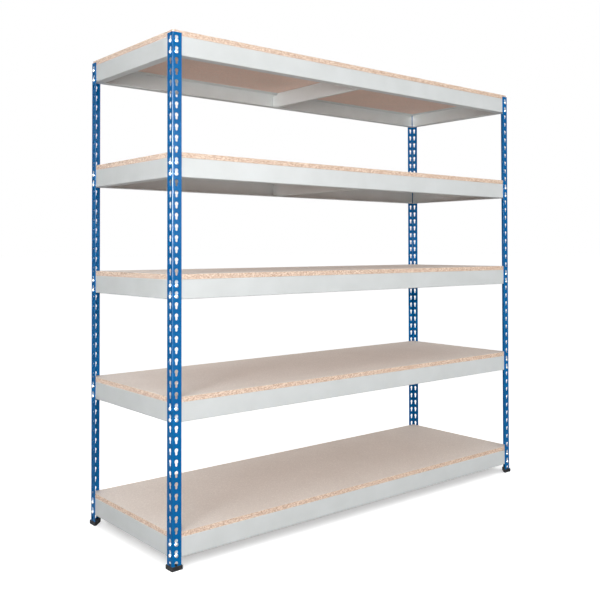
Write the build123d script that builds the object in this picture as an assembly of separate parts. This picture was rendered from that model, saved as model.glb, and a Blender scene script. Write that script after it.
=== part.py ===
from build123d import *
import math
import os

# Boltless steel shelving: four keyholed angle posts on plastic feet carry five levels.
# A level is four folded channel beams that hook into the posts by their rivets, a tie bar
# across the middle and a chipboard deck that lies loose on top.
# Millimetres. X is the width, Y the depth with the front at -Y, Z up from the floor, and
# the origin is on the floor under the middle of the frame.

# ---- overall sizes ----
FRAME_WIDTH = 1890.0            # over the outer faces of the posts
FRAME_DEPTH = 627.0
HOLE_PITCH = 38.1               # keyhole spacing up the posts
POST_HOLES = 48                 # keyholes in each leg; a post is this many pitches tall
LEVELS = 5
FREE_HOLES_BELOW = 1            # keyholes left free under the lowest level

# ---- posts ----
LEG_WIDTH = 36.0                # each leg of the angle, measured outside
POST_WALL = 2.0
POST_BEND_RADIUS = 4.0          # outside radius of the fold
HOLE_LINE = 16.0                # from the fold's outer face to the row of keyholes
FIRST_HOLE_DROP = 17.5          # post top to the centre of the first keyhole's round head
KEYHOLE_TAPER = 30.0            # degrees; half-angle between the round head and the slot
HOOK_DROP = 12.25               # from the head's centre down to the slot's end centre

# ---- rivets ----
RIVET_HEAD_DIAMETER = 13.0
RIVET_HEAD_HEIGHT = 3.2
RIVET_HEAD_EDGE = 1.2           # height of the head's straight rim
RIVET_CROWN_DIAMETER = 6.5      # flat on top of the head
RIVET_SHANK_DIAMETER = 8.0
RIVET_TAIL_DIAMETER = 11.0      # the end that is closed against the inside of the beam
RIVET_TAIL_TIP_DIAMETER = 8.8
RIVET_TAIL_HEIGHT = 1.6
RIVET_ROWS = 2                  # rivets one above the other at each end of a beam

# ---- beams ----
BEAM_WALL = 1.5
BEAM_FLANGE = 35.0
BEAM_BEND_RADIUS = 3.0          # outside radius of both folds
RIVET_BELOW_BEAM_TOP = 20.0
RIVET_ABOVE_BEAM_BOTTOM = 9.9
BEAM_END_GAP = 5.0              # beam end to the inner face of the post's other leg
BEAM_MITRE_GAP = 1.0            # between the mitred flanges of two beams that meet

# ---- tie bars ----
TIE_FLANGE = 15.0
TIE_WEB_OFFSET = 32.0             # tie bar's web to the left of the frame's middle
TIE_END_GAP = 0.5               # tie bar end to the inside of the beam's fold
TIE_NOTCH_DEPTH = 10.0          # how far the ends are cut down to pass under the flanges
TIE_NOTCH_CLEARANCE = 2.0       # between the notch's end and the edge of the flange
TIE_TOP_GAP = 0.5               # tie bar to the underside of the deck

# ---- decks ----
DECK_THICKNESS = 18.0
DECK_CORNER_CUT = 5.0           # corner taken off so that it clears the post's fold

# ---- feet ----
FOOT_FLOOR = 3.0                # plastic under the end of the post
FOOT_SLEEVE_HEIGHT = 12.0       # how far the foot reaches up the post
FOOT_WALL = 3.5                 # outside the post's faces
FOOT_OVERHANG = 4.0             # past the free edges of the legs
FOOT_EDGE_RADIUS = 1.5

# ---- clearances between pieces ----
FACE_GAP = 0.3                  # beam to post, rivet head to post, deck edge to post
KEYHOLE_CLEARANCE = 0.5         # radius of a keyhole's head over that of a rivet's head
SLOT_CLEARANCE = 0.25           # radius of a keyhole's slot over that of a rivet's shank
RIVET_HOLE_CLEARANCE = 0.1
FOOT_FIT_GAP = 0.2              # foot to post

# ---- sizes that follow ----
POST_HEIGHT = HOLE_PITCH * POST_HOLES
POST_TOP = FOOT_FLOOR + POST_HEIGHT
HEAD_RADIUS = RIVET_HEAD_DIAMETER / 2 + KEYHOLE_CLEARANCE
SLOT_RADIUS = RIVET_SHANK_DIAMETER / 2 + SLOT_CLEARANCE
BEAM_HEIGHT = RIVET_BELOW_BEAM_TOP + HOLE_PITCH * (RIVET_ROWS - 1) + RIVET_ABOVE_BEAM_BOTTOM
BEAM_FACE = POST_WALL + FACE_GAP                # beam's outer face in from the post's
LOWEST_LEVEL_HOLE = POST_HOLES - RIVET_ROWS - FREE_HOLES_BELOW


def keyhole_outline():
    """Face of one keyhole in the XY plane, its round head centred on the origin."""
    angle = math.radians(KEYHOLE_TAPER)
    throat_x = HEAD_RADIUS * math.cos(angle)
    throat_y = -HEAD_RADIUS * math.sin(angle)
    slot_y = throat_y - (throat_x - SLOT_RADIUS) / math.tan(angle)
    with BuildSketch() as sketch:
        with BuildLine():
            ThreePointArc((-throat_x, throat_y), (0, HEAD_RADIUS), (throat_x, throat_y))
            Line((throat_x, throat_y), (SLOT_RADIUS, slot_y))
            Line((SLOT_RADIUS, slot_y), (SLOT_RADIUS, -HOOK_DROP))
            ThreePointArc(
                (SLOT_RADIUS, -HOOK_DROP),
                (0, -HOOK_DROP - SLOT_RADIUS),
                (-SLOT_RADIUS, -HOOK_DROP),
            )
            Line((-SLOT_RADIUS, -HOOK_DROP), (-SLOT_RADIUS, slot_y))
            Line((-SLOT_RADIUS, slot_y), (-throat_x, throat_y))
        make_face()
    return sketch.sketch


def hole_height(index):
    """Height of the centre of keyhole number index, counted down from the top."""
    return POST_TOP - FIRST_HOLE_DROP - HOLE_PITCH * index


def angle_outline(leg, wall, radius):
    """Face of an L with its outer corner at the origin and its legs along +X and +Y."""
    with BuildSketch() as sketch:
        with BuildLine():
            Line((radius, 0), (leg, 0))
            Line((leg, 0), (leg, wall))
            Line((leg, wall), (radius, wall))
            RadiusArc((radius, wall), (wall, radius), radius - wall)
            Line((wall, radius), (wall, leg))
            Line((wall, leg), (0, leg))
            Line((0, leg), (0, radius))
            RadiusArc((0, radius), (radius, 0), -radius)
        make_face()
    return sketch.sketch


def make_post():
    """Angle post with its outer corner on the Z axis and a row of keyholes in each leg."""
    post = Pos(0, 0, FOOT_FLOOR) * extrude(
        angle_outline(LEG_WIDTH, POST_WALL, POST_BEND_RADIUS), POST_HEIGHT
    )
    cutter_length = 2 * POST_WALL
    front_cutter = Rot(90, 0, 0) * extrude(keyhole_outline(), cutter_length / 2, both=True)
    front_leg = Pos(HOLE_LINE, POST_WALL / 2, 0) * front_cutter
    side_leg = Pos(POST_WALL / 2, HOLE_LINE, 0) * Rot(0, 0, 90) * front_cutter
    cutters = []
    for index in range(POST_HOLES):
        for cutter in (front_leg, side_leg):
            cutters.append(Pos(0, 0, hole_height(index)) * cutter)
    return post - cutters


def make_foot():
    """Three-cornered plastic cap with its post's outer corner on the Z axis."""
    near = -FOOT_WALL
    far = LEG_WIDTH + FOOT_OVERHANG
    height = FOOT_FLOOR + FOOT_SLEEVE_HEIGHT
    leg_end = POST_WALL + FOOT_FIT_GAP + FOOT_WALL
    outline = Polygon(
        (near, near), (far, near), (far, leg_end), (leg_end, far), (near, far), align=None
    )
    block = extrude(outline, height)
    outer_edges = block.edges().filter_by(Axis.Z) + block.edges().group_by(Axis.Z)[-1]
    block = fillet(outer_edges, FOOT_EDGE_RADIUS)
    pocket = angle_outline(
        LEG_WIDTH + 2 * FOOT_FIT_GAP,
        POST_WALL + 2 * FOOT_FIT_GAP,
        POST_BEND_RADIUS + FOOT_FIT_GAP,
    )
    pocket = Pos(-FOOT_FIT_GAP, -FOOT_FIT_GAP, FOOT_FLOOR) * extrude(pocket, height)
    return block - pocket


def channel_outline(height, flange, wall, radius):
    """Face of a channel in XY: web on the Y axis, flanges towards +X, top edge at Y = 0."""
    outer = Pos(flange / 2, -height / 2) * Rectangle(flange, height)
    inner_height = height - 2 * wall
    inner = Pos(wall + flange / 2, -height / 2) * Rectangle(flange, inner_height)
    outer = fillet(outer.vertices().group_by(Axis.X)[0], radius)
    inner = fillet(inner.vertices().group_by(Axis.X)[0], radius - wall)
    return outer - inner


def make_channel(length, height, flange, wall, radius):
    """Channel along X centred on the origin: web outside at Y = 0, flanges +Y, top Z = 0."""
    outline = channel_outline(height, flange, wall, radius)
    return Plane((-length / 2, 0, 0), (0, 1, 0), (1, 0, 0)) * extrude(outline, length)


def rivet_places(frame_length):
    """X and Z of a beam's four rivets, from the middle of the beam and its top edge."""
    reach = frame_length / 2 - HOLE_LINE
    places = []
    for x in (-reach, reach):
        for row in range(RIVET_ROWS):
            places.append((x, -RIVET_BELOW_BEAM_TOP - HOLE_PITCH * row))
    return places


def make_beam(frame_length):
    """Channel beam for a side of the frame of this length, outer face at Y = 0, top Z = 0."""
    half_inside = frame_length / 2 - POST_WALL
    length = 2 * (half_inside - BEAM_END_GAP)
    beam = make_channel(length, BEAM_HEIGHT, BEAM_FLANGE, BEAM_WALL, BEAM_BEND_RADIUS)
    # Each mitre follows the diagonal from the corner where two beams' outer faces would meet.
    corner = frame_length / 2 - BEAM_FACE
    setback = BEAM_MITRE_GAP / math.sqrt(2)
    reach = 2 * BEAM_FLANGE
    cutters = []
    for side in (-1, 1):
        tip = side * (corner - setback)
        end = side * (corner + reach)
        with BuildSketch() as wedge:
            with BuildLine():
                Polyline((tip, 0), (tip - side * reach, reach), (end, reach), (end, 0), close=True)
            make_face()
        cutters.append(Pos(0, 0, -BEAM_HEIGHT - 1) * extrude(wedge.sketch, BEAM_HEIGHT + 2))
    hole_radius = RIVET_SHANK_DIAMETER / 2 + RIVET_HOLE_CLEARANCE
    for x, z in rivet_places(frame_length):
        hole = Rot(90, 0, 0) * Cylinder(hole_radius, 4 * BEAM_WALL)
        cutters.append(Pos(x, 0, z) * hole)
    return beam - cutters


def make_rivet():
    """Rivet along Y through a post and a beam whose outer face is at Y = 0, head at -Y."""
    head_seat = -(BEAM_FACE + FACE_GAP)
    head_top = head_seat - RIVET_HEAD_HEIGHT
    head_radius = RIVET_HEAD_DIAMETER / 2
    crown_radius = RIVET_CROWN_DIAMETER / 2
    shank_radius = RIVET_SHANK_DIAMETER / 2
    tail_radius = RIVET_TAIL_DIAMETER / 2
    tip_radius = RIVET_TAIL_TIP_DIAMETER / 2
    tail_top = BEAM_WALL + RIVET_TAIL_HEIGHT
    with BuildSketch(Plane.XY) as profile:
        with BuildLine():
            Line((0, head_top), (crown_radius, head_top))
            Line((crown_radius, head_top), (head_radius, head_seat - RIVET_HEAD_EDGE))
            Line((head_radius, head_seat - RIVET_HEAD_EDGE), (head_radius, head_seat))
            Line((head_radius, head_seat), (shank_radius, head_seat))
            Line((shank_radius, head_seat), (shank_radius, BEAM_WALL))
            Line((shank_radius, BEAM_WALL), (tail_radius, BEAM_WALL))
            Line((tail_radius, BEAM_WALL), (tip_radius, tail_top))
            Line((tip_radius, tail_top), (0, tail_top))
            Line((0, tail_top), (0, head_top))
        make_face()
    return revolve(profile.sketch, Axis.Y)


def make_rivets(frame_length):
    """A beam's four rivets, placed as in make_beam."""
    rivet = make_rivet()
    return Compound([Pos(x, 0, z) * rivet for x, z in rivet_places(frame_length)])


def make_tie_bar():
    """Channel along Y near the middle of a level, deck's underside at Z = 0."""
    seat = -BEAM_HEIGHT + BEAM_WALL
    height = -TIE_TOP_GAP - seat
    length = FRAME_DEPTH - 2 * (BEAM_FACE + BEAM_BEND_RADIUS + TIE_END_GAP)
    bar = make_channel(length, height, TIE_FLANGE, BEAM_WALL, BEAM_BEND_RADIUS)
    notch_length = BEAM_FLANGE - BEAM_BEND_RADIUS - TIE_END_GAP + TIE_NOTCH_CLEARANCE
    notch = Box(2 * notch_length, 2 * TIE_FLANGE, 2 * TIE_NOTCH_DEPTH)
    notches = [Pos(end, TIE_FLANGE / 2, 0) * notch for end in (-length / 2, length / 2)]
    return Pos(-TIE_WEB_OFFSET, 0, -TIE_TOP_GAP) * Rot(0, 0, -90) * (bar - notches)


def make_deck():
    """Chipboard deck with its underside at Z = 0."""
    width = FRAME_WIDTH - 2 * BEAM_FACE
    depth = FRAME_DEPTH - 2 * BEAM_FACE
    outline = chamfer(Rectangle(width, depth).vertices(), DECK_CORNER_CUT)
    return extrude(outline, DECK_THICKNESS)


def level_hole(level):
    """Keyhole that takes the upper rivets of a level; level 1 is the lowest."""
    return (LEVELS - level) * LOWEST_LEVEL_HOLE // (LEVELS - 1)


def beam_top(level):
    """Height of the top of a level's beams, which is the underside of its deck."""
    return hole_height(level_hole(level)) - HOOK_DROP + RIVET_BELOW_BEAM_TOP


def corner_places():
    """Name and place of each corner; every piece there turns to face into the frame."""
    x = FRAME_WIDTH / 2
    y = FRAME_DEPTH / 2
    return {
        "front_left": Pos(-x, -y, 0),
        "front_right": Pos(x, -y, 0) * Rot(0, 0, 90),
        "back_right": Pos(x, y, 0) * Rot(0, 0, 180),
        "back_left": Pos(-x, y, 0) * Rot(0, 0, 270),
    }


def side_places():
    """Name, frame length and place of each side of a level, outer face of the beam outwards."""
    x = FRAME_WIDTH / 2 - BEAM_FACE
    y = FRAME_DEPTH / 2 - BEAM_FACE
    return [
        ("front", FRAME_WIDTH, Pos(0, -y, 0)),
        ("right", FRAME_DEPTH, Pos(x, 0, 0) * Rot(0, 0, 90)),
        ("back", FRAME_WIDTH, Pos(0, y, 0) * Rot(0, 0, 180)),
        ("left", FRAME_DEPTH, Pos(-x, 0, 0) * Rot(0, 0, 270)),
    ]


def build_nodes():
    """Every sub-part by name, in place."""
    nodes = {}
    post = make_post()
    foot = make_foot()
    for corner, place in corner_places().items():
        nodes[f"post_{corner}"] = place * post
        nodes[f"foot_{corner}"] = place * foot
    deck = make_deck()
    tie_bar = make_tie_bar()
    beams = {length: make_beam(length) for length in (FRAME_WIDTH, FRAME_DEPTH)}
    rivets = {length: make_rivets(length) for length in (FRAME_WIDTH, FRAME_DEPTH)}
    for level in range(1, LEVELS + 1):
        height = Pos(0, 0, beam_top(level))
        for side, length, place in side_places():
            nodes[f"beam_{level}_{side}"] = height * place * beams[length]
            nodes[f"rivets_{level}_{side}"] = height * place * rivets[length]
        nodes[f"tie_bar_{level}"] = height * tie_bar
        nodes[f"deck_{level}"] = height * deck
    return nodes


os.makedirs("parts", exist_ok=True)
for name, shape in build_nodes().items():
    export_step(shape, f"parts/{name}.step")
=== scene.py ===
"""Looks for a five-level boltless steel shelving rack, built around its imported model.

Every piece is in metres in the rack's own frame: X is the width, Y the depth with the front
at -Y, and Z is up from the floor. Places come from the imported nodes; the sizes of folds,
rims and grain are fields of the classes below.
"""

import logging
import math
from dataclasses import dataclass, field
from enum import Enum
from typing import Any, Callable, Iterable, Sequence

import bmesh
import bpy
from mathutils import Matrix, Vector, geometry, noise


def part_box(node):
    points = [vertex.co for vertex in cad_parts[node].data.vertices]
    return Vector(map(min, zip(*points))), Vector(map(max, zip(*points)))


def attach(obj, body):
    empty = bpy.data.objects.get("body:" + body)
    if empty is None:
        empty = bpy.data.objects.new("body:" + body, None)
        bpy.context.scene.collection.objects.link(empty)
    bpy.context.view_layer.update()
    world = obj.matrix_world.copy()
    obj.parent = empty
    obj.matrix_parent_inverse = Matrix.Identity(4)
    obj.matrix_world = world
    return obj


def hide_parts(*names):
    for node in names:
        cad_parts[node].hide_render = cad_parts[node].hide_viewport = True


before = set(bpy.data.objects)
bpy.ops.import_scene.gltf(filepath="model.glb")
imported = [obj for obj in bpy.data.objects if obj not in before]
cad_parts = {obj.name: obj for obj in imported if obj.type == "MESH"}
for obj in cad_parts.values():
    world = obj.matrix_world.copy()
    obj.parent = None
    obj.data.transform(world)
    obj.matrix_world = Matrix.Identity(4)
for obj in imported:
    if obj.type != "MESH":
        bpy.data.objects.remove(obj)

LOG = logging.getLogger("shelving")
MM = 0.001
CREASE = math.radians(40.0)         # edges sharper than this stay sharp in the shading
ROUNDED_EDGE = math.radians(50.0)   # edges sharper than this are rounded
Point2 = tuple[float, float]


class Corner(Enum):
    """The rack's corners, each with the quarter turns that face its post into the rack."""

    FRONT_LEFT = 0
    FRONT_RIGHT = 1
    BACK_RIGHT = 2
    BACK_LEFT = 3

    @property
    def label(self) -> str:
        """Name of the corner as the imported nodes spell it."""
        return self.name.lower()


class Side(Enum):
    """The sides of a level, each with the quarter turns that bring its beam to face outwards."""

    FRONT = 0
    RIGHT = 1
    BACK = 2
    LEFT = 3

    @property
    def label(self) -> str:
        """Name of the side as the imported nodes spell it."""
        return self.name.lower()


# ===== Materials =====


class Nodes:
    """A node tree, and a short way to add to it."""

    def __init__(self, tree: bpy.types.NodeTree) -> None:
        """Hold a tree.

        Args:
            tree: the tree to add to.
        """
        self.tree = tree

    def add(self, kind: str, inputs: dict[Any, Any] | None = None, **settings: Any) -> bpy.types.Node:
        """Add a node.

        Args:
            kind: the node's type.
            inputs: values or output sockets by input name or index.
            settings: attributes to set on the node.

        Returns:
            The new node.
        """
        node = self.tree.nodes.new(kind)
        for key, value in settings.items():
            setattr(node, key, value)
        for key, value in (inputs or {}).items():
            if isinstance(value, bpy.types.NodeSocket):
                self.tree.links.new(value, node.inputs[key])
            else:
                node.inputs[key].default_value = value
        return node


class Shader(Nodes):
    """A material's node tree with a Principled surface, and short ways to add to it."""

    def __init__(self, name: str) -> None:
        """Start a material.

        Args:
            name: name of the material.
        """
        self.material = bpy.data.materials.new(name)
        self.material.use_nodes = True
        super().__init__(self.material.node_tree)
        self.surface = self.tree.nodes["Principled BSDF"]
        self.coordinates = self.tree.nodes.new("ShaderNodeTexCoord")

    def place(self, stretch: Sequence[float] = (1.0, 1.0, 1.0)) -> bpy.types.NodeSocket:
        """Object coordinates, stretched.

        Args:
            stretch: scale along X, Y and Z.

        Returns:
            The socket that carries them.
        """
        mapping = self.add("ShaderNodeMapping", {"Vector": self.coordinates.outputs["Object"]})
        mapping.inputs["Scale"].default_value = stretch
        return mapping.outputs["Vector"]

    def noise(self, scale: float, detail: float = 2.0, place: Any = None) -> bpy.types.NodeSocket:
        """Noise on object coordinates.

        Args:
            scale: cycles per metre.
            detail: octaves.
            place: coordinates to use in place of the plain ones.

        Returns:
            The socket with the noise's value.
        """
        where = place or self.coordinates.outputs["Object"]
        node = self.add("ShaderNodeTexNoise", {"Vector": where, "Scale": scale, "Detail": detail})
        return node.outputs["Fac"]

    def span(
        self, value: Any, low: float, high: float, to_low: float, to_high: float
    ) -> bpy.types.NodeSocket:
        """Map a value from one range to another, held at its ends.

        Args:
            value: the socket to map.
            low: start of the range read.
            high: end of the range read.
            to_low: result at low.
            to_high: result at high.

        Returns:
            The socket with the result.
        """
        node = self.add(
            "ShaderNodeMapRange",
            {"Value": value, "From Min": low, "From Max": high, "To Min": to_low, "To Max": to_high},
        )
        return node.outputs["Result"]

    def blend(self, factor: Any, first: Any, second: Any) -> bpy.types.NodeSocket:
        """Mix two colours.

        Args:
            factor: share of the second, a number or a socket.
            first: colour or socket.
            second: colour or socket.

        Returns:
            The socket with the mixed colour.
        """
        node = self.add("ShaderNodeMix", data_type="RGBA", clamp_factor=True)
        for index, value in ((0, factor), (6, first), (7, second)):
            if isinstance(value, bpy.types.NodeSocket):
                self.tree.links.new(value, node.inputs[index])
            elif index:
                node.inputs[index].default_value = (*value, 1.0)
            else:
                node.inputs[index].default_value = value
        return node.outputs[2]

    def math(self, operation: str, first: Any, second: Any = 0.0) -> bpy.types.NodeSocket:
        """Work out one sum.

        Args:
            operation: name of the Math node's operation.
            first: number or socket.
            second: number or socket.

        Returns:
            The socket with the result.
        """
        return self.add("ShaderNodeMath", {0: first, 1: second}, operation=operation).outputs[0]

    def bump(self, height: Any, depth: float, strength: float = 1.0) -> None:
        """Raise the surface by a height.

        Args:
            height: socket with the height from 0 to 1.
            depth: what 1 stands for, in metres.
            strength: share of the effect.
        """
        node = self.add("ShaderNodeBump", {"Height": height, "Distance": depth, "Strength": strength})
        self.tree.links.new(node.outputs["Normal"], self.surface.inputs["Normal"])

    def colour(self, socket: bpy.types.NodeSocket) -> None:
        """Give the surface this colour."""
        self.tree.links.new(socket, self.surface.inputs["Base Color"])

    def roughness(self, socket: bpy.types.NodeSocket) -> None:
        """Give the surface this roughness."""
        self.tree.links.new(socket, self.surface.inputs["Roughness"])

    def set(self, **values: float) -> None:
        """Set constants on the surface's own sockets, with _ for a space in the name."""
        for key, value in values.items():
            self.surface.inputs[key.replace("_", " ")].default_value = value


@dataclass(frozen=True)
class Finish:
    """A surface that becomes one material."""

    name: str

    def build(self) -> bpy.types.Material:
        """Make the material.

        Returns:
            The material.
        """
        shader = Shader(self.name)
        self.paint(shader)
        return shader.material

    def paint(self, shader: Shader) -> None:
        """Lay the finish on a shader.

        Args:
            shader: the material's nodes.
        """
        raise NotImplementedError(self.name)


@dataclass(frozen=True)
class PowderCoat(Finish):
    """Baked powder paint on sheet steel: orange peel, cloudy gloss and specks of dust."""

    colour: tuple[float, float, float]
    shade: tuple[float, float, float]
    roughness: float
    peel_per_metre: float = 520.0
    peel_depth: float = 0.00005
    cloud_per_metre: float = 9.0
    speck_per_metre: float = 1352.0
    smear_per_metre: float = 27.9
    smear_stretch: tuple[float, float, float] = (1.0, 1.0, 0.35)
    spread: float = 0.09
    specular: float = 0.5
    coat: float = 0.1
    coat_roughness: float = 0.12

    def paint(self, shader: Shader) -> None:
        """Lay the finish on a shader."""
        cloud = shader.noise(self.cloud_per_metre, 3.0)
        tone = shader.blend(shader.span(cloud, 0.35, 0.7, 0.0, 1.0), self.shade, self.colour)
        grain = shader.noise(self.speck_per_metre, 1.0)
        speck = shader.span(grain, 0.30, 0.42, 0.12, 0.0)
        shader.colour(shader.blend(speck, tone, self.shade))
        smear = shader.noise(self.smear_per_metre, 4.0, shader.place(self.smear_stretch))
        low, high = self.roughness - self.spread, self.roughness + self.spread
        shader.roughness(shader.span(smear, 0.3, 0.75, low, high))
        peel = shader.noise(self.peel_per_metre, 2.0)
        shader.bump(peel, self.peel_depth, 0.6)
        shader.set(Specular_IOR_Level=self.specular, Coat_Weight=self.coat)
        shader.set(Coat_Roughness=self.coat_roughness)


@dataclass(frozen=True)
class Zinc(Finish):
    """Bright zinc plate on turned steel, with the faint mottle of the plating."""

    colour: tuple[float, float, float] = (0.86, 0.86, 0.85)
    shade: tuple[float, float, float] = (0.66, 0.67, 0.68)
    mottle_per_metre: float = 700.0

    def paint(self, shader: Shader) -> None:
        """Lay the finish on a shader."""
        mottle = shader.noise(self.mottle_per_metre, 3.0)
        shader.colour(shader.blend(shader.span(mottle, 0.35, 0.65, 0.0, 1.0), self.shade, self.colour))
        shader.roughness(shader.span(mottle, 0.3, 0.7, 0.28, 0.46))
        shader.bump(shader.noise(self.mottle_per_metre * 3.0, 1.0), 0.00002, 0.5)
        shader.set(Metallic=1.0)


@dataclass(frozen=True)
class Chipboard(Finish):
    """Raw chipboard: fine sanded dust on its faces, coarse flat chips and voids on its edges. The
    underside's colour is painted brighter than the faces as painted bounce light, and the voids are
    painted near black as painted shade.
    """

    face: tuple[float, float, float]
    face_dark: tuple[float, float, float]
    face_light: tuple[float, float, float]
    # painted bounce light: the colour of faces that look down, brighter than the top face
    underside: tuple[float, float, float]
    edge: tuple[float, float, float]
    edge_dark: tuple[float, float, float]
    edge_light: tuple[float, float, float]
    dust_per_metre: float = 900.0
    flake_per_metre: float = 300.0
    chip_per_metre: float = 190.0
    chip_flatness: float = 2.2

    def _cells(self, shader: Shader, scale: float, place: Any) -> tuple[Any, Any]:
        """Cells of wood chips.

        Args:
            shader: the tree to add to.
            scale: cells per metre.
            place: coordinates.

        Returns:
            Sockets with a random value for each chip, and with the distance from its middle.
        """
        node = shader.add(
            "ShaderNodeTexVoronoi",
            {"Vector": place, "Scale": scale, "Randomness": 1.0},
            feature="F1",
        )
        split = shader.add("ShaderNodeSeparateColor", {"Color": node.outputs["Color"]})
        return split.outputs["Red"], node.outputs["Distance"]

    def _warped(self, shader: Shader, stretch: Sequence[float], amount: float) -> bpy.types.NodeSocket:
        """Coordinates bent by noise, so that chips have ragged outlines.

        Args:
            shader: the tree to add to.
            stretch: scale along X, Y and Z.
            amount: how far they bend, in metres.

        Returns:
            The socket that carries them.
        """
        place = shader.place(stretch)
        swirl = shader.add("ShaderNodeTexNoise", {"Vector": place, "Scale": 420.0, "Detail": 2.0})
        centred = shader.add(
            "ShaderNodeVectorMath", {0: swirl.outputs["Color"], 1: (0.5, 0.5, 0.5)}, operation="SUBTRACT"
        )
        scaled = shader.add(
            "ShaderNodeVectorMath", {0: centred.outputs[0], "Scale": amount}, operation="SCALE"
        )
        moved = shader.add("ShaderNodeVectorMath", {0: place, 1: scaled.outputs[0]}, operation="ADD")
        return moved.outputs[0]

    def paint(self, shader: Shader) -> None:
        """Lay the finish on a shader."""
        upright = shader.add(
            "ShaderNodeSeparateXYZ", {"Vector": shader.coordinates.outputs["Normal"]}
        ).outputs["Z"]
        is_face = shader.span(shader.math("ABSOLUTE", upright), 0.55, 0.8, 0.0, 1.0)

        # Faces: sanded dust with pale and dark slivers that show through it.
        flat = self._warped(shader, (1.0, 1.0, 1.0), 0.003)
        flake, flake_reach = self._cells(shader, self.flake_per_metre, flat)
        dust, _ = self._cells(shader, self.dust_per_metre, flat)
        # Faces that look down take the underside colour, painted brighter as painted bounce light from
        # below.
        below = shader.span(upright, -0.5, 0.5, 1.0, 0.0)
        face = shader.blend(below, self.face, self.underside)
        face = shader.blend(shader.span(dust, 0.0, 1.0, 0.0, 0.55), face, self.face_dark)
        pale = shader.span(flake, 0.80, 0.95, 0.0, 0.55)
        face = shader.blend(pale, face, self.face_light)
        dark = shader.span(flake, 0.02, 0.14, 0.55, 0.0)
        face = shader.blend(dark, face, self.face_dark)
        cloud = shader.noise(5.0, 3.0)
        face = shader.blend(shader.span(cloud, 0.35, 0.7, 0.22, 0.0), face, self.face_dark)

        # Edges: chips lie flat in the board, so they are cut long and thin.
        thin = self._warped(shader, (1.0, 1.0, self.chip_flatness), 0.004)
        chip, chip_reach = self._cells(shader, self.chip_per_metre, thin)
        shard, _ = self._cells(shader, self.chip_per_metre * 3.0, thin)
        edge = shader.blend(shader.span(chip, 0.1, 0.9, 0.0, 1.0), self.edge_dark, self.edge_light)
        edge = shader.blend(shader.span(shard, 0.0, 1.0, 0.05, 0.65), edge, self.edge)
        # Voids: pits that dent the edge through the bump, and are painted near black as painted shade
        # inside them.
        void_and_painted_shade = shader.span(shader.noise(480.0, 3.0, thin), 0.27, 0.35, 0.85, 0.0)
        edge = shader.blend(void_and_painted_shade, edge, tuple(0.35 * c for c in self.edge_dark))

        shader.colour(shader.blend(is_face, edge, face))
        shader.roughness(shader.span(flake, 0.0, 1.0, 0.62, 0.80))
        rough_edge = shader.math("SUBTRACT", chip_reach, shader.math("MULTIPLY", void_and_painted_shade, 0.8))
        smooth_face = shader.math("MULTIPLY", flake_reach, 0.12)
        mix = shader.add("ShaderNodeMix", {0: is_face, 2: rough_edge, 3: smooth_face}, data_type="FLOAT")
        shader.bump(mix.outputs[0], 0.0007, 0.6)
        shader.set(Specular_IOR_Level=0.3)


@dataclass(frozen=True)
class MouldedPlastic(Finish):
    """Black moulded plastic with a fine spark-eroded grain and scuffs of dust."""

    colour: tuple[float, float, float] = (0.010, 0.010, 0.012)
    dust: tuple[float, float, float] = (0.055, 0.050, 0.046)
    grain_per_metre: float = 1500.0

    def paint(self, shader: Shader) -> None:
        """Lay the finish on a shader."""
        scuff = shader.noise(95.0, 5.0)
        shader.colour(shader.blend(shader.span(scuff, 0.52, 0.8, 0.0, 0.5), self.colour, self.dust))
        shader.roughness(shader.span(scuff, 0.3, 0.7, 0.42, 0.6))
        shader.bump(shader.noise(self.grain_per_metre, 1.0), 0.00008, 0.7)
        shader.set(Specular_IOR_Level=0.3)


@dataclass(frozen=True)
class PaleFloor(Finish):
    """Pale studio floor that lights the rack from below less than its own look would."""

    colour: float = 0.93
    bounce: float = 0.35
    glow: float = 0.42

    def paint(self, shader: Shader) -> None:
        """Lay the finish on a shader."""
        seen = shader.add("ShaderNodeLightPath").outputs["Is Camera Ray"]
        cloud = shader.span(shader.noise(1.5, 3.0), 0.0, 1.0, 0.98, 1.0)
        level = shader.math("MULTIPLY", cloud, shader.span(seen, 0.0, 1.0, self.bounce, self.colour))
        shader.colour(level)
        shader.roughness(shader.span(cloud, 0.98, 1.0, 0.7, 0.8))
        shader.set(Specular_IOR_Level=0.0)
        glow = shader.span(seen, 0.0, 1.0, 0.0, self.glow)
        shader.tree.links.new(glow, shader.surface.inputs["Emission Strength"])
        shader.surface.inputs["Emission Color"].default_value = (1.0, 1.0, 1.0, 1.0)


@dataclass
class Finishes:
    """Every finish on the rack, built once."""

    post: bpy.types.Material = field(init=False)
    beam: bpy.types.Material = field(init=False)
    rivet: bpy.types.Material = field(init=False)
    board: bpy.types.Material = field(init=False)
    foot: bpy.types.Material = field(init=False)
    floor: bpy.types.Material = field(init=False)

    def __post_init__(self) -> None:
        """Build the materials."""
        self.post = PowderCoat(
            "blue_powder_coat", (0.0, 0.153, 0.43), (0.0, 0.127, 0.375), 0.32, specular=0.11, coat=0.02
        ).build()
        self.beam = PowderCoat(
            "pale_grey_powder_coat", (0.74, 0.765, 0.765), (0.70, 0.725, 0.72), 0.42, coat=0.12
        ).build()
        self.rivet = Zinc("bright_zinc").build()
        self.board = Chipboard(
            "chipboard",
            face=(0.79, 0.71, 0.645),
            face_dark=(0.62, 0.53, 0.465),
            face_light=(0.92, 0.84, 0.76),
            # underside painted brighter than the face: painted bounce light
            underside=(0.94, 0.66, 0.555),
            edge=(0.87, 0.60, 0.44),
            edge_dark=(0.48, 0.29, 0.19),
            edge_light=(0.98, 0.84, 0.70),
        ).build()
        self.foot = MouldedPlastic("black_moulded_plastic").build()
        self.floor = PaleFloor("pale_floor").build()


# ===== Mesh tools =====


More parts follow.
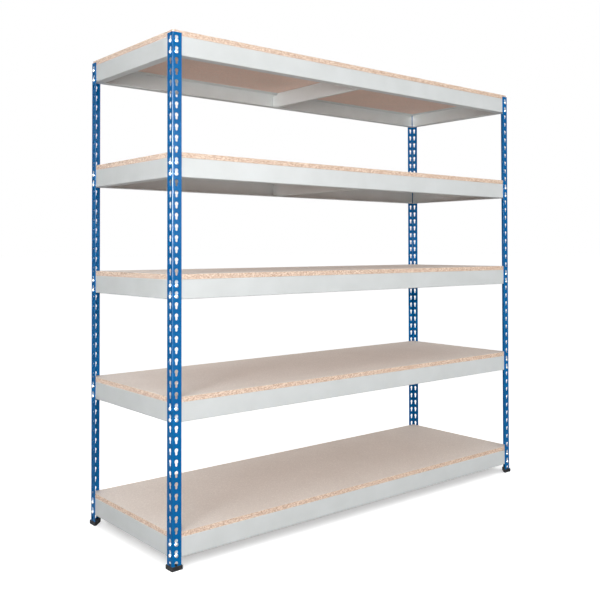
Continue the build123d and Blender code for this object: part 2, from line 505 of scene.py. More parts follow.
def cleaned(mesh: bpy.types.Mesh, merge: float = 1e-6) -> bpy.types.Mesh:
    """Merge doubles, turn every face outwards and set smooth shading with sharp creases.

    Args:
        mesh: the mesh to change.
        merge: distance under which vertices become one, in metres.

    Returns:
        The same mesh.
    """
    work = bmesh.new()
    work.from_mesh(mesh)
    bmesh.ops.remove_doubles(work, verts=work.verts, dist=merge)
    bmesh.ops.recalc_face_normals(work, faces=work.faces)
    work.to_mesh(mesh)
    work.free()
    mesh.shade_smooth()
    mesh.set_sharp_from_angle(angle=CREASE)
    return mesh


def made(work: bmesh.types.BMesh, name: str) -> bpy.types.Mesh:
    """Turn a working mesh into a plain one.

    Args:
        work: the working mesh, which is freed.
        name: name of the mesh.

    Returns:
        The mesh.
    """
    mesh = bpy.data.meshes.new(name)
    work.to_mesh(mesh)
    work.free()
    return mesh


def band(work: bmesh.types.BMesh, first: Sequence[Any], second: Sequence[Any]) -> None:
    """Join two closed loops of as many vertices with a band of faces.

    Args:
        work: the mesh to add to.
        first: vertices of one loop.
        second: vertices of the other, in the same order.
    """
    for i, start in enumerate(first):
        j = (i + 1) % len(first)
        work.faces.new((start, first[j], second[j], second[i]))


def show(mesh: bpy.types.Mesh, name: str) -> bpy.types.Object:
    """Put a mesh in the scene as an object at the origin.

    Args:
        mesh: the mesh.
        name: name of the object.

    Returns:
        The object.
    """
    mesh.name = name
    piece = bpy.data.objects.new(name, mesh)
    bpy.context.scene.collection.objects.link(piece)
    return piece


def evaluated(piece: bpy.types.Object) -> bpy.types.Mesh:
    """Mesh of a piece with its modifiers applied.

    Args:
        piece: the object to read.

    Returns:
        A new mesh.
    """
    bpy.context.view_layer.update()
    graph = bpy.context.evaluated_depsgraph_get()
    return bpy.data.meshes.new_from_object(piece.evaluated_get(graph), depsgraph=graph)


def finished(mesh: bpy.types.Mesh, name: str, bevel: float = 0.0) -> bpy.types.Object:
    """Round a mesh's hard edges, settle its shading and put it in the scene.

    Args:
        mesh: the mesh.
        name: name of the object.
        bevel: width of the rounding in metres, or 0 for none.

    Returns:
        The object, with no live modifiers.
    """
    piece = show(mesh, name)
    if bevel:
        rounding = piece.modifiers.new("rounding", "BEVEL")
        rounding.width = bevel
        rounding.segments = 2
        rounding.limit_method = "ANGLE"
        rounding.angle_limit = ROUNDED_EDGE
        rounding.use_clamp_overlap = False
    settle = piece.modifiers.new("settle", "WEIGHTED_NORMAL")
    settle.keep_sharp = True
    settle.weight = 100
    result = evaluated(piece)
    piece.modifiers.clear()
    piece.data = result
    result.name = name
    return piece


def dressed(piece: bpy.types.Object, material: bpy.types.Material) -> bpy.types.Object:
    """Give a piece one material.

    Args:
        piece: the object.
        material: its finish.

    Returns:
        The same object.
    """
    piece.data.materials.clear()
    piece.data.materials.append(material)
    for polygon in piece.data.polygons:
        polygon.material_index = 0
    return piece


def stand_in(piece: bpy.types.Object, body: str, nodes: Iterable[str]) -> None:
    """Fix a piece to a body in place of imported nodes.

    Args:
        piece: the object.
        body: name of the body that it rides on.
        nodes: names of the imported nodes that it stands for.
    """
    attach(piece, body)
    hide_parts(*nodes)
    LOG.info("%s on %s: %d faces", piece.name, body, len(piece.data.polygons))


class RepeatTree(Nodes):
    """A Geometry Nodes tree, with named inputs, that sets copies of its own mesh on points."""

    def __init__(self, name: str) -> None:
        """Start a tree with a geometry input and output.

        Args:
            name: name of the tree.
        """
        super().__init__(bpy.data.node_groups.new(name, "GeometryNodeTree"))
        self.socket("Geometry", "NodeSocketGeometry")
        self.tree.interface.new_socket("Geometry", in_out="OUTPUT", socket_type="NodeSocketGeometry")
        self.start = self.tree.nodes.new("NodeGroupInput")
        self.end = self.tree.nodes.new("NodeGroupOutput")

    def socket(self, name: str, kind: str) -> None:
        """Add a named input of a kind."""
        self.tree.interface.new_socket(name, in_out="INPUT", socket_type=kind)

    def finish(self, instances: bpy.types.NodeSocket, material: bpy.types.NodeSocket) -> None:
        """End the tree with real geometry in one material.

        Args:
            instances: the socket with the copies.
            material: the input with the material.
        """
        real = self.add("GeometryNodeRealizeInstances", {"Geometry": instances})
        finish = self.add("GeometryNodeSetMaterial", {"Geometry": real.outputs[0], "Material": material})
        self.tree.links.new(finish.outputs[0], self.end.inputs[0])

    def run(self, mesh: bpy.types.Mesh, values: dict[str, Any]) -> bpy.types.Mesh:
        """Run the tree over a mesh.

        Args:
            mesh: what the tree starts from.
            values: the tree's inputs by name.

        Returns:
            The result as a plain mesh.
        """
        piece = show(mesh, "repeat_source")
        modifier = piece.modifiers.new("repeat", "NODES")
        modifier.node_group = self.tree
        for item in self.tree.interface.items_tree:
            if item.in_out == "INPUT" and item.name in values:
                modifier[item.identifier] = values[item.name]
        result = evaluated(piece)
        piece.modifiers.clear()
        bpy.data.objects.remove(piece)
        return result


def stack_tree() -> RepeatTree:
    """Tree that stacks copies of a cell downwards at one pitch.

    Returns:
        The tree, with inputs Count, Pitch and Finish.
    """
    repeat = RepeatTree("stack_of_cells")
    repeat.socket("Count", "NodeSocketInt")
    repeat.socket("Pitch", "NodeSocketFloat")
    repeat.socket("Finish", "NodeSocketMaterial")
    step = repeat.add("ShaderNodeMath", {0: repeat.start.outputs["Pitch"], 1: -1.0}, operation="MULTIPLY")
    offset = repeat.add("ShaderNodeCombineXYZ", {"Z": step.outputs[0]})
    line = repeat.add(
        "GeometryNodeMeshLine",
        {"Count": repeat.start.outputs["Count"], "Offset": offset.outputs[0]},
    )
    copies = repeat.add(
        "GeometryNodeInstanceOnPoints",
        {"Points": line.outputs[0], "Instance": repeat.start.outputs["Geometry"]},
    )
    repeat.finish(copies.outputs[0], repeat.start.outputs["Finish"])
    return repeat


def scatter_tree() -> RepeatTree:
    """Tree that sets a copy of one object on every vertex of its mesh, turned about Z.

    Returns:
        The tree, with inputs Pattern and Finish; the turn is a point attribute.
    """
    repeat = RepeatTree("copies_on_points")
    repeat.socket("Pattern", "NodeSocketObject")
    repeat.socket("Finish", "NodeSocketMaterial")
    pattern = repeat.add("GeometryNodeObjectInfo", {"Object": repeat.start.outputs["Pattern"]})
    turn = repeat.add("GeometryNodeInputNamedAttribute", {"Name": "turn"}, data_type="FLOAT")
    angles = repeat.add("ShaderNodeCombineXYZ", {"Z": turn.outputs[0]})
    points = repeat.add("GeometryNodeMeshToPoints", {"Mesh": repeat.start.outputs["Geometry"]})
    copies = repeat.add(
        "GeometryNodeInstanceOnPoints",
        {
            "Points": points.outputs[0],
            "Instance": pattern.outputs["Geometry"],
            "Rotation": angles.outputs[0],
        },
    )
    repeat.finish(copies.outputs[0], repeat.start.outputs["Finish"])
    return repeat


# ===== Posts =====


def arc(centre: Point2, radius: float, start: float, end: float, steps: int) -> list[Point2]:
    """Points along an arc.

    Args:
        centre: its centre.
        radius: its radius.
        start: first angle in degrees.
        end: last angle in degrees.
        steps: how many stretches to divide it into.

    Returns:
        steps + 1 points.
    """
    angles = [math.radians(start + (end - start) * i / steps) for i in range(steps + 1)]
    return [(centre[0] + radius * math.cos(a), centre[1] + radius * math.sin(a)) for a in angles]


@dataclass
class Keyhole:
    """A punched keyhole: a round head that narrows into a slot, its rim softened by paint."""

    head_radius: float = 7.0 * MM
    slot_radius: float = 4.25 * MM
    drop: float = 12.25 * MM
    taper: float = 30.0
    outer_rim: float = 0.45 * MM
    inner_rim: float = 0.25 * MM
    head_steps: int = 16
    slot_steps: int = 8
    rim_steps: int = 3

    def outline(self, grow: float = 0.0) -> list[Point2]:
        """Outline with the head's centre at the origin.

        Args:
            grow: how far outside the punched edge it runs.

        Returns:
            Points anticlockwise.
        """
        head = self.head_radius + grow
        slot = self.slot_radius + grow
        lean = math.radians(self.taper)
        throat_y = -head * math.sin(lean)
        slot_y = throat_y - (head * math.cos(lean) - slot) / math.tan(lean)
        points = arc((0.0, 0.0), head, -self.taper, 180.0 + self.taper, self.head_steps)
        points.append((-slot, slot_y))
        points += arc((0.0, -self.drop), slot, 180.0, 360.0, self.slot_steps)
        points.append((slot, slot_y))
        return points

    def rings(self, wall: float) -> list[tuple[float, float]]:
        """How the rim runs through the sheet.

        Args:
            wall: thickness of the sheet.

        Returns:
            Pairs of growth and depth, from the outside to the inside.
        """
        rings = []
        for step in range(self.rim_steps + 1):
            angle = math.radians(90.0 * step / self.rim_steps)
            grow, depth = 1 - math.sin(angle), 1 - math.cos(angle)
            rings.append((self.outer_rim * grow, self.outer_rim * depth))
        for step in range(self.rim_steps + 1):
            angle = math.radians(90.0 * step / self.rim_steps)
            grow, depth = 1 - math.cos(angle), 1 - math.sin(angle)
            rings.append((self.inner_rim * grow, wall - self.inner_rim * depth))
        return rings


@dataclass
class Posts:
    """Four angle posts, each a stack of like cells with a keyhole in both legs."""

    finish: bpy.types.Material
    keyhole: Keyhole = field(default_factory=Keyhole)
    wall: float = 2.0 * MM
    fold_radius: float = 4.0 * MM
    edge_radius: float = 0.6 * MM
    hole_line: float = 16.0 * MM
    hole_drop: float = 17.5 * MM
    pitch: float = 38.1 * MM
    fold_steps: int = 6
    edge_steps: int = 3

    def section(self, leg: float) -> list[Point2]:
        """Outline of the angle, its outer corner at the origin.

        Args:
            leg: width of each leg.

        Returns:
            Points anticlockwise from the start of the front leg's outer face.
        """
        wall = self.wall
        fold = self.fold_radius
        edge = self.edge_radius
        points = arc((leg - edge, edge), edge, 270.0, 360.0, self.edge_steps)
        points += arc((leg - edge, wall - edge), edge, 0.0, 90.0, self.edge_steps)
        points += arc((fold, fold), fold - wall, 270.0, 180.0, self.fold_steps)
        points += arc((wall - edge, leg - edge), edge, 0.0, 90.0, self.edge_steps)
        points += arc((edge, leg - edge), edge, 90.0, 180.0, self.edge_steps)
        points += arc((fold, fold), fold, 180.0, 270.0, self.fold_steps)
        return points

    def _panel(
        self, work: bmesh.types.BMesh, place: Callable[[float, float], Vector],
        low: float, high: float, grow: float,
    ) -> None:
        """One flat face of a cell with its keyhole cut out.

        Args:
            work: the mesh to add to.
            place: gives the point at a distance across the leg and a height.
            low: where the flat starts across the leg.
            high: where it ends.
            grow: how far outside the punched edge the cut runs.
        """
        border = [(low, 0.0), (high, 0.0), (high, -self.pitch), (low, -self.pitch)]
        cut = [(self.hole_line + x, y - self.hole_drop) for x, y in self.keyhole.outline(grow)]
        points = [Vector((x, y, 0.0)) for x, y in border + cut]
        loops = [points[: len(border)], points[len(border):]]
        corners = [work.verts.new(place(p.x, p.y)) for p in points]
        for triangle in geometry.tessellate_polygon(loops):
            work.faces.new([corners[i] for i in triangle])

    def cell(self, leg: float) -> bpy.types.Mesh:
        """One pitch of post, its top at Z = 0.

        Args:
            leg: width of each leg.

        Returns:
            An open mesh that stacks on itself.
        """
        work = bmesh.new()
        section = self.section(leg)
        flats = self._flat_stretches(leg)
        for start, end in zip(section, section[1:] + section[:1]):
            if any(self._same(start, a) and self._same(end, b) for a, b in flats):
                continue
            if self._same(start, end):
                continue
            quad = [(*start, 0.0), (*end, 0.0), (*end, -self.pitch), (*start, -self.pitch)]
            work.faces.new([work.verts.new(corner) for corner in quad])
        rings = self.keyhole.rings(self.wall)
        for along_y in (False, True):
            for depth, grow in ((0.0, rings[0][0]), (self.wall, rings[-1][0])):
                place = self._placer(along_y, depth)
                self._panel(work, place, self.fold_radius, leg - self.edge_radius, grow)
            self._rim(work, along_y, rings)
        return made(work, "post_cell")

    def _flat_stretches(self, leg: float) -> list[tuple[Point2, Point2]]:
        """The four stretches of the section that carry keyholes, as section orders them."""
        low = self.fold_radius
        high = leg - self.edge_radius
        wall = self.wall
        return [
            ((high, wall), (low, wall)),
            ((wall, low), (wall, high)),
            ((0.0, high), (0.0, low)),
            ((low, 0.0), (high, 0.0)),
        ]

    @staticmethod
    def _same(first: Point2, second: Point2) -> bool:
        """Whether two points of a section are one."""
        return math.dist(first, second) < 1e-7

    @staticmethod
    def _placer(along_y: bool, depth: float) -> Callable[[float, float], Vector]:
        """Gives the function that places a point of one leg's face.

        Args:
            along_y: the side leg, not the front one.
            depth: distance in from the leg's outer face.

        Returns:
            A function of the distance across the leg and the height.
        """
        if along_y:
            return lambda across, height: Vector((depth, across, height))
        return lambda across, height: Vector((across, depth, height))

    def _rim(self, work: bmesh.types.BMesh, along_y: bool, rings: Sequence[tuple[float, float]]) -> None:
        """The rounded wall of one keyhole.

        Args:
            work: the mesh to add to.
            along_y: the side leg, not the front one.
            rings: growth and depth of each ring.
        """
        loops = []
        for grow, depth in rings:
            place = self._placer(along_y, depth)
            outline = [(self.hole_line + x, y - self.hole_drop) for x, y in self.keyhole.outline(grow)]
            loops.append([work.verts.new(place(across, height)) for across, height in outline])
        for first, second in zip(loops, loops[1:]):
            band(work, first, second)

    def _caps(self, leg: float, height: float) -> bpy.types.Mesh:
        """The cut ends of a post.

        Args:
            leg: width of each leg.
            height: height of the post.

        Returns:
            A mesh with the two end faces, the top one at Z = 0.
        """
        work = bmesh.new()
        section = []
        for point in self.section(leg):
            if not section or not self._same(section[-1], point):
                section.append(point)
        for z in (0.0, -height):
            loop = [Vector((x, y, 0.0)) for x, y in section]
            corners = [work.verts.new((x, y, z)) for x, y in section]
            for triangle in geometry.tessellate_polygon([loop]):
                work.faces.new([corners[i] for i in triangle])
        return made(work, "post_caps")

    def build(self) -> None:
        """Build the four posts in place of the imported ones."""
        low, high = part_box(f"post_{Corner.FRONT_LEFT.label}")
        leg = high.x - low.x
        height = high.z - low.z
        count = round(height / self.pitch)
        stack = stack_tree().run(
            self.cell(leg), {"Count": count, "Pitch": self.pitch, "Finish": self.finish}
        )
        work = bmesh.new()
        work.from_mesh(stack)
        work.from_mesh(self._caps(leg, height))
        work.to_mesh(stack)
        work.free()
        pattern = cleaned(stack)
        for corner in Corner:
            low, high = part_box(f"post_{corner.label}")
            outer = Vector((low.x if low.x < 0 else high.x, low.y if low.y < 0 else high.y, high.z))
            mesh = pattern.copy()
            turn = Matrix.Rotation(corner.value * math.pi / 2, 4, "Z")
            mesh.transform(Matrix.Translation(outer) @ turn)
            piece = dressed(finished(mesh, f"post_{corner.label}_skin"), self.finish)
            stand_in(piece, "frame", [f"post_{corner.label}"])


# ===== Folded channels: beams and tie bars =====


@dataclass
class FoldedSheet:
    """Sheet metal folded along X: paired points on its two skins, swept between stations."""

    wall: float
    pairs: list[tuple[Point2, Point2]]

    def mesh(self, stations: Sequence[Callable[[Point2], float]], gone: Callable[[int, int], bool],
             name: str) -> bpy.types.Mesh:
        """Sweep the section.

        Args:
            stations: each gives the X of a point of the section, given as (y, z).
            gone: tells whether the cell after this pair and this station is cut away.
            name: name of the mesh.

        Returns:
            A closed mesh.
        """
        work = bmesh.new()
        grid = []
        for pair in self.pairs:
            row = [[work.verts.new((station(p), *p)) for station in stations] for p in pair]
            grid.append(row)
        rows = len(self.pairs) - 1
        columns = len(stations) - 1

        def there(i: int, j: int) -> bool:
            """Whether cell i, j exists."""
            return 0 <= i < rows and 0 <= j < columns and not gone(i, j)

        for i in range(rows):
            for j in range(columns):
                if not there(i, j):
                    continue
                for skin in (0, 1):
                    near, far = grid[i][skin], grid[i + 1][skin]
                    work.faces.new((near[j], near[j + 1], far[j + 1], far[j]))
                rims = (
                    (there(i, j - 1), (i, j), (i + 1, j)),
                    (there(i, j + 1), (i, j + 1), (i + 1, j + 1)),
                    (there(i - 1, j), (i, j), (i, j + 1)),
                    (there(i + 1, j), (i + 1, j), (i + 1, j + 1)),
                )
                for joined, a, b in rims:
                    if not joined:
                        near, far = grid[a[0]], grid[b[0]]
                        work.faces.new((near[0][a[1]], far[0][b[1]], far[1][b[1]], near[1][a[1]]))
        loose = [v for v in work.verts if not v.link_faces]
        bmesh.ops.delete(work, geom=loose, context="VERTS")
        return cleaned(made(work, name))


def channel_pairs(height: float, flange: float, wall: float, fold: float, steps: int,
                  extra: Sequence[float] = ()) -> list[tuple[Point2, Point2]]:
    """Section of a channel with its web's outer face at Y = 0 and its top at Z = 0.

    Args:
        height: over the flanges.
        flange: width of each flange.
        wall: thickness of the sheet.
        fold: outside radius of the folds.
        steps: how many stretches each fold is divided into.
        extra: heights at which the web is also divided.

    Returns:
        Pairs of outer and inner points, from the upper flange's edge to the lower's.
    """
    inner = fold - wall
    pairs = [((flange, 0.0), (flange, -wall))]
    top, bottom = (fold, -fold), (fold, fold - height)
    upper = zip(*(arc(top, radius, 90.0, 180.0, steps) for radius in (fold, inner)))
    lower = zip(*(arc(bottom, radius, 180.0, 270.0, steps) for radius in (fold, inner)))
    pairs += list(upper)
    pairs += [((0.0, z), (wall, z)) for z in extra]
    pairs += list(lower)
    pairs.append(((flange, -height), (flange, wall - height)))
    return pairs


@dataclass
class Beams:
    """The four channel beams of each level, mitred where their flanges meet."""

    finish: bpy.types.Material
    wall: float = 1.5 * MM
    fold: float = 3.0 * MM
    mitre_gap: float = 1.0 * MM
    edge: float = 0.3 * MM
    fold_steps: int = 5

    def _pattern(self, half: float, depth: float, height: float, tip: float) -> bpy.types.Mesh:
        """One beam along X, its outer face at Y = 0 and its top at Z = 0.

        Args:
            half: half its length.
            depth: width of its flanges.
            height: over the flanges.
            tip: X at which the mitre's line meets the outer face.

        Returns:
            The mesh.
        """
        section = channel_pairs(height, depth, self.wall, self.fold, self.fold_steps)
        sheet = FoldedSheet(self.wall, section)

        def right(point: Point2) -> float:
            """X of the beam's right end."""
            return min(half, tip - point[0])

        def left(point: Point2) -> float:
            """X of the beam's left end."""
            return -right(point)

        return sheet.mesh((left, right), lambda i, j: False, "beam")

    def build(self, level: int) -> None:
        """Build a level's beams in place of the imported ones.

        Args:
            level: number of the level, 1 the lowest.
        """
        front_low, front_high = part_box(f"beam_{level}_front")
        side_low, side_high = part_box(f"beam_{level}_left")
        height = front_high.z - front_low.z
        setback = self.mitre_gap / math.sqrt(2.0)
        for side in Side:
            low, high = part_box(f"beam_{level}_{side.label}")
            along_x = side in (Side.FRONT, Side.BACK)
            half = (high.x - low.x) / 2 if along_x else (high.y - low.y) / 2
            flange = high.y - low.y if along_x else high.x - low.x
            corner = -side_low.x if along_x else -front_low.y
            mesh = self._pattern(half, flange, height, corner - setback)
            face = -front_low.y if along_x else -side_low.x
            turn = Matrix.Rotation(side.value * math.pi / 2, 4, "Z")
            mesh.transform(turn @ Matrix.Translation((0.0, -face, high.z)))
            piece = dressed(finished(mesh, f"beam_{level}_{side.label}_skin", self.edge), self.finish)
            stand_in(piece, f"level_{level}", [f"beam_{level}_{side.label}"])


@dataclass
class TieBars:
    """The channel under the deck of each level, notched to pass under the beams' flanges."""

    finish: bpy.types.Material
    wall: float = 1.5 * MM
    fold: float = 3.0 * MM
    notch_depth: float = 10.0 * MM
    flange_clearance: float = 2.0 * MM
    edge: float = 0.3 * MM
    fold_steps: int = 5

    def build(self, level: int) -> None:
        """Build a level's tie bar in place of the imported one.

        Args:
            level: number of the level, 1 the lowest.
        """
        low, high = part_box(f"tie_bar_{level}")
        beam_low, beam_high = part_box(f"beam_{level}_front")
        half = (high.y - low.y) / 2
        notch = half + beam_high.y + self.flange_clearance
        section = channel_pairs(
            high.z - low.z, high.x - low.x, self.wall, self.fold, self.fold_steps, (-self.notch_depth,)
        )
        whole = self.fold_steps + 2
        sheet = FoldedSheet(self.wall, section)
        stations = [lambda p, x=x: x for x in (-half, notch - half, half - notch, half)]
        mesh = sheet.mesh(stations, lambda i, j: i < whole and j != 1, "tie_bar")
        turn = Matrix.Rotation(-math.pi / 2, 4, "Z")
        mesh.transform(Matrix.Translation((low.x, (low.y + high.y) / 2, high.z)) @ turn)
        piece = dressed(finished(mesh, f"tie_bar_{level}_skin", self.edge), self.finish)
        stand_in(piece, f"level_{level}", [f"tie_bar_{level}"])


# ===== Rivets =====


@dataclass
class Rivets:
    """The rivets of each level, one turned pattern set on every place."""

    finish: bpy.types.Material
    head_radius: float = 6.5 * MM
    head_height: float = 3.2 * MM
    rim_height: float = 0.9 * MM
    rim_round: float = 0.35 * MM
    shank_radius: float = 4.0 * MM
    tail_radius: float = 5.5 * MM
    tail_height: float = 1.6 * MM
    tail_shoulder: float = 0.92
    tail_flat: float = 0.6
    segments: int = 28
    crown_steps: int = 6

    def profile(self, reach: float) -> list[Point2]:
        """Half section of a rivet as radius and distance behind the top of its head.

        Args:
            reach: overall length.

        Returns:
            Points from the middle of the head to the middle of the tail.
        """
        crown = self.head_height - self.rim_height
        points = [(0.0, 0.0)]
        for step in range(1, self.crown_steps + 1):
            angle = math.radians(90.0 * step / self.crown_steps)
            points.append((self.head_radius * math.sin(angle), crown * (1.0 - math.cos(angle))))
        points.append((self.head_radius, self.head_height - self.rim_round))
        points.append((self.head_radius - self.rim_round, self.head_height))
        points.append((self.shank_radius, self.head_height))
        tail = reach - self.tail_height
        points.append((self.shank_radius, tail))
        points.append((self.tail_radius - self.rim_round, tail))
        points.append((self.tail_radius, tail + self.rim_round))
        points.append((self.tail_radius * self.tail_shoulder, tail + self.tail_height * self.tail_flat))
        points.append((self.tail_radius * self.tail_flat, reach))
        points.append((0.0, reach))
        return points

    def pattern(self, reach: float) -> bpy.types.Object:
        """One rivet, its axis along Y and the top of its head at the origin facing -Y.

        Args:
            reach: overall length.

        Returns:
            The object that the tree copies.
        """
        work = bmesh.new()
        profile = self.profile(reach)
        tip = work.verts.new((0.0, 0.0, 0.0))
        end = work.verts.new((0.0, reach, 0.0))
        rings = []
        for radius, depth in profile[1:-1]:
            ring = []
            for i in range(self.segments):
                angle = 2.0 * math.pi * i / self.segments
                ring.append(work.verts.new((radius * math.cos(angle), depth, radius * math.sin(angle))))
            rings.append(ring)
        for i in range(self.segments):
            j = (i + 1) % self.segments
            work.faces.new((tip, rings[0][i], rings[0][j]))
            work.faces.new((end, rings[-1][j], rings[-1][i]))
            for first, second in zip(rings, rings[1:]):
                work.faces.new((first[i], second[i], second[j], first[j]))
        return show(cleaned(made(work, "rivet")), "rivet_pattern")

    def _places(self, level: int) -> list[tuple[Vector, float]]:
        """Where a level's rivets are.

        Args:
            level: number of the level.

        Returns:
            The top of each head, and the rivet's turn about Z.
        """
        places = []
        for side in Side:
            low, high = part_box(f"rivets_{level}_{side.label}")
            turn = side.value * math.pi / 2
            unturn = Matrix.Rotation(-turn, 4, "Z")
            near, far = unturn @ low, unturn @ high
            left = min(near.x, far.x) + self.head_radius
            right = max(near.x, far.x) - self.head_radius
            top = min(near.y, far.y)
            for x in (left, right):
                for z in (low.z + self.head_radius, high.z - self.head_radius):
                    places.append((Matrix.Rotation(turn, 4, "Z") @ Vector((x, top, z)), turn))
        return places

    def build(self, levels: Iterable[int]) -> None:
        """Build every level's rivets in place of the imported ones.

        Args:
            levels: numbers of the levels.
        """
        low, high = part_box("rivets_1_front")
        pattern = self.pattern(high.y - low.y)
        tree = scatter_tree()
        for level in levels:
            places = self._places(level)
            points = bpy.data.meshes.new("rivet_points")
            points.from_pydata([place for place, _ in places], [], [])
            turns = points.attributes.new("turn", "FLOAT", "POINT")
            for entry, (_, turn) in zip(turns.data, places):
                entry.value = turn
            mesh = tree.run(points, {"Pattern": pattern, "Finish": self.finish})
            piece = dressed(finished(cleaned(mesh), f"rivets_{level}_skin"), self.finish)
            nodes = [f"rivets_{level}_{side.label}" for side in Side]
            stand_in(piece, f"level_{level}", nodes)
        bpy.data.objects.remove(pattern)


# ===== Decks =====


@dataclass
class Decks:
    """Chipboard decks whose sawn edges are pitted between smooth faces."""

    finish: bpy.types.Material
    step: float = 3.0 * MM
    corner_cut: float = 5.0 * MM
    pit_depth: float = 0.5 * MM
    pit_per_metre: float = 260.0
    skin: float = 2.5 * MM
    arris: float = 0.4 * MM
    inset: float = 4.0 * MM
    core_rows: int = 5
    skin_pits: float = 0.3
    pit_contrast: float = 1.6
    nick_scale: float = 0.35
    nick_floor: float = 0.25
    nick_depth: float = 2.0

    def _outline(self, low: Vector, high: Vector) -> list[tuple[Vector, Vector]]:
        """Points round the board.

        Args:
            low: lowest corner of the board.
            high: highest corner.

        Returns:
            Each point with the direction into the board.
        """
        cut = self.corner_cut
        corners = [
            Vector((low.x + cut, low.y)), Vector((high.x - cut, low.y)),
            Vector((high.x, low.y + cut)), Vector((high.x, high.y - cut)),
            Vector((high.x - cut, high.y)), Vector((low.x + cut, high.y)),
            Vector((low.x, high.y - cut)), Vector((low.x, low.y + cut)),
        ]
        points = []
        for start, end in zip(corners, corners[1:] + corners[:1]):
            way = end - start
            steps = max(1, round(way.length / self.step))
            inward = Vector((-way.y, way.x)).normalized()
            for i in range(steps):
                points.append((start + way * (i / steps), inward))
        return points

    def build(self, level: int) -> None:
        """Build a level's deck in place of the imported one.

        Args:
            level: number of the level, 1 the lowest.
        """
        low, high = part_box(f"deck_{level}")
        thick = high.z - low.z
        outline = self._outline(low.xy, high.xy)
        rows = [0.0, self.arris, self.skin]
        core = thick - 2 * self.skin
        rows += [self.skin + core * i / self.core_rows for i in range(1, self.core_rows)]
        rows += [thick - self.skin, thick - self.arris, thick]
        work = bmesh.new()
        rings = []
        for index, rise in enumerate(rows):
            edge_row = index in (0, len(rows) - 1)
            in_core = self.skin <= rise <= thick - self.skin
            depth = self.pit_depth if in_core else self.skin_pits * self.pit_depth
            ring = []
            for point, inward in outline:
                where = Vector((point.x, point.y, (low.z + rise) * 2.0)) * self.pit_per_metre
                pit = max(0.0, noise.noise(where) * self.pit_contrast) * depth
                if edge_row:
                    nick = max(0.0, noise.noise(where * self.nick_scale) - self.nick_floor)
                    pit = self.arris + nick * self.pit_depth * self.nick_depth
                spot = point + inward * pit
                ring.append(work.verts.new((spot.x, spot.y, low.z + rise)))
            rings.append(ring)
        for first, second in zip(rings, rings[1:]):
            band(work, first, second)
        for ring, z in ((rings[0], low.z), (rings[-1], high.z)):
            inner = []
            for point, _ in outline:
                x = min(max(point.x, low.x + self.inset), high.x - self.inset)
                y = min(max(point.y, low.y + self.inset), high.y - self.inset)
                inner.append(work.verts.new((x, y, z)))
            band(work, ring, inner)
            work.faces.new(inner)
        mesh = cleaned(made(work, "deck"))
        piece = dressed(finished(mesh, f"deck_{level}_board"), self.finish)
        stand_in(piece, f"deck_{level}", [f"deck_{level}"])


# ===== Feet =====


@dataclass
class Feet:
    """Moulded caps under the posts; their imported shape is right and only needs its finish."""

    finish: bpy.types.Material

    def build(self) -> None:
        """Give every foot its finish."""
        for corner in Corner:
            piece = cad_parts[f"foot_{corner.label}"]
            for slot in piece.material_slots:
                slot.material = self.finish
            LOG.info("%s dressed", piece.name)


# ===== Studio =====


@dataclass(frozen=True)
class Softbox:
    """A soft square light."""

    name: str
    place: tuple[float, float, float]
    target: tuple[float, float, float]
    width: float
    height: float
    watts: float
    gloss_only: bool = False

    def build(self) -> None:
        """Hang the light."""
        data = bpy.data.lights.new(self.name, "AREA")
        data.shape = "RECTANGLE"
        data.size = self.width
        data.size_y = self.height
        data.energy = self.watts
        light = bpy.data.objects.new(self.name, data)
        light.visible_diffuse = not self.gloss_only
        way = Vector(self.target) - Vector(self.place)
        turn = way.to_track_quat("-Z", "Y").to_matrix().to_4x4()
        light.matrix_world = Matrix.Translation(self.place) @ turn
        bpy.context.scene.collection.objects.link(light)


@dataclass(frozen=True)
class Glow:
    """A wide soft brightness on one side of the studio."""

    way: tuple[float, float, float]
    strength: float


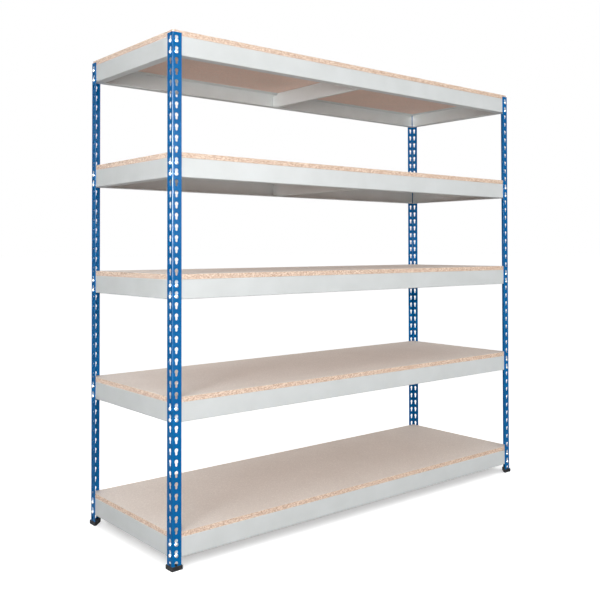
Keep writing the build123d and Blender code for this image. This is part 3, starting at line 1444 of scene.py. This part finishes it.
@dataclass
class Studio:
    """Plain pale floor, soft lights and the camera."""

    floor_finish: bpy.types.Material
    eye: tuple[float, float, float] = (-2.3485, -2.6805, 1.0871)
    heading: float = 39.906
    rise: float = 1.027
    roll: float = -0.123
    focal_ratio: float = 1.3335
    shift: tuple[float, float] = (-0.0045, -0.1088)
    sensor: float = 36.0
    floor_size: float = 200.0
    even_glow: float = 0.15
    glows: tuple[Glow, ...] = (Glow((0.0, 0.0, 1.0), 0.76), Glow((0.0, -1.0, 0.0), 0.08))
    softboxes: tuple[Softbox, ...] = (
        Softbox("left_box", (-2.6, -1.6, 1.6), (-0.9, 0.0, 1.0), 1.0, 1.0, 20.0),
        Softbox("right_box", (1.5, -3.5, 1.8), (0.3, 0.0, 1.0), 1.6, 1.2, 32.0),
        Softbox("camera_box", (-2.4, -3.0, 1.5), (0.0, 0.0, 1.4), 1.2, 0.4, 22.0),
        Softbox("side_box", (-3.6, -0.8, 1.45), (0.0, 0.0, 1.5), 1.2, 0.4, 9.0),
        Softbox("top_box", (0.0, -1.0, 3.6), (0.0, 0.0, 1.0), 2.0, 2.0, 8.0),
        Softbox("low_box", (0.0, -3.2, 0.5), (0.0, 0.0, 1.0), 2.0, 0.8, 6.0),
        Softbox("back_box", (0.0, 2.5, 2.2), (0.0, 0.0, 1.0), 2.4, 1.0, 14.0),
        Softbox(
            "corner_strip", (-3.1, -1.6, 1.58), (-0.95, -0.3, 1.35), 0.6, 0.82, 1300.0, gloss_only=True
        ),
    )

    def _camera(self) -> None:
        """Set the camera."""
        data = bpy.data.cameras.new("camera")
        data.sensor_width = self.sensor
        data.lens = self.focal_ratio * self.sensor
        data.shift_x, data.shift_y = self.shift
        camera = bpy.data.objects.new("camera", data)
        upright = Matrix.Rotation(math.radians(90.0 + self.rise), 4, "X")
        turn = Matrix.Rotation(-math.radians(self.heading), 4, "Z")
        tilt = Matrix.Rotation(math.radians(self.roll), 4, "Z")
        camera.matrix_world = Matrix.Translation(self.eye) @ turn @ upright @ tilt
        bpy.context.scene.collection.objects.link(camera)
        bpy.context.scene.camera = camera

    def _floor(self) -> None:
        """Lay the floor."""
        half = self.floor_size / 2
        mesh = bpy.data.meshes.new("floor")
        corners = [(-half, -half, 0.0), (half, -half, 0.0), (half, half, 0.0), (-half, half, 0.0)]
        mesh.from_pydata(corners, [], [(0, 1, 2, 3)])
        dressed(show(mesh, "floor"), self.floor_finish)

    def _surroundings(self) -> None:
        """Light the rack softly from all round, against plain white."""
        world = bpy.data.worlds.new("studio")
        world.use_nodes = True
        nodes = Nodes(world.node_tree)
        background = nodes.tree.nodes["Background"]
        background.inputs["Color"].default_value = (1.0, 1.0, 1.0, 1.0)
        way = nodes.add("ShaderNodeTexCoord").outputs["Generated"]
        total: Any = self.even_glow
        for glow in self.glows:
            facing = nodes.add("ShaderNodeVectorMath", {0: way, 1: glow.way}, operation="DOT_PRODUCT")
            held = nodes.add("ShaderNodeMath", {0: facing.outputs["Value"], 1: 0.0}, operation="MAXIMUM")
            total = nodes.add(
                "ShaderNodeMath",
                {0: held.outputs[0], 1: glow.strength, 2: total},
                operation="MULTIPLY_ADD",
            ).outputs[0]
        seen = nodes.add("ShaderNodeLightPath").outputs["Is Camera Ray"]
        level = nodes.add("ShaderNodeMapRange", {"Value": seen, "To Min": total, "To Max": 1.0})
        nodes.tree.links.new(level.outputs["Result"], background.inputs["Strength"])
        bpy.context.scene.world = world

    def build(self) -> None:
        """Set the stage."""
        self._camera()
        self._floor()
        self._surroundings()
        for softbox in self.softboxes:
            softbox.build()
        bpy.context.scene.view_settings.view_transform = "Standard"


def main() -> None:
    """Build every piece and the studio."""
    logging.basicConfig(level=logging.INFO, format="%(name)s: %(message)s")
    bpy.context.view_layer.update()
    finishes = Finishes()
    levels = range(1, 1 + sum(name.startswith("deck_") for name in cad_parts))
    Studio(finishes.floor).build()
    Posts(finishes.post).build()
    Feet(finishes.foot).build()
    beams = Beams(finishes.beam)
    tie_bars = TieBars(finishes.beam)
    decks = Decks(finishes.board)
    for level in levels:
        beams.build(level)
        tie_bars.build(level)
        decks.build(level)
    Rivets(finishes.rivet).build(levels)


if __name__ == "__main__":
    main()
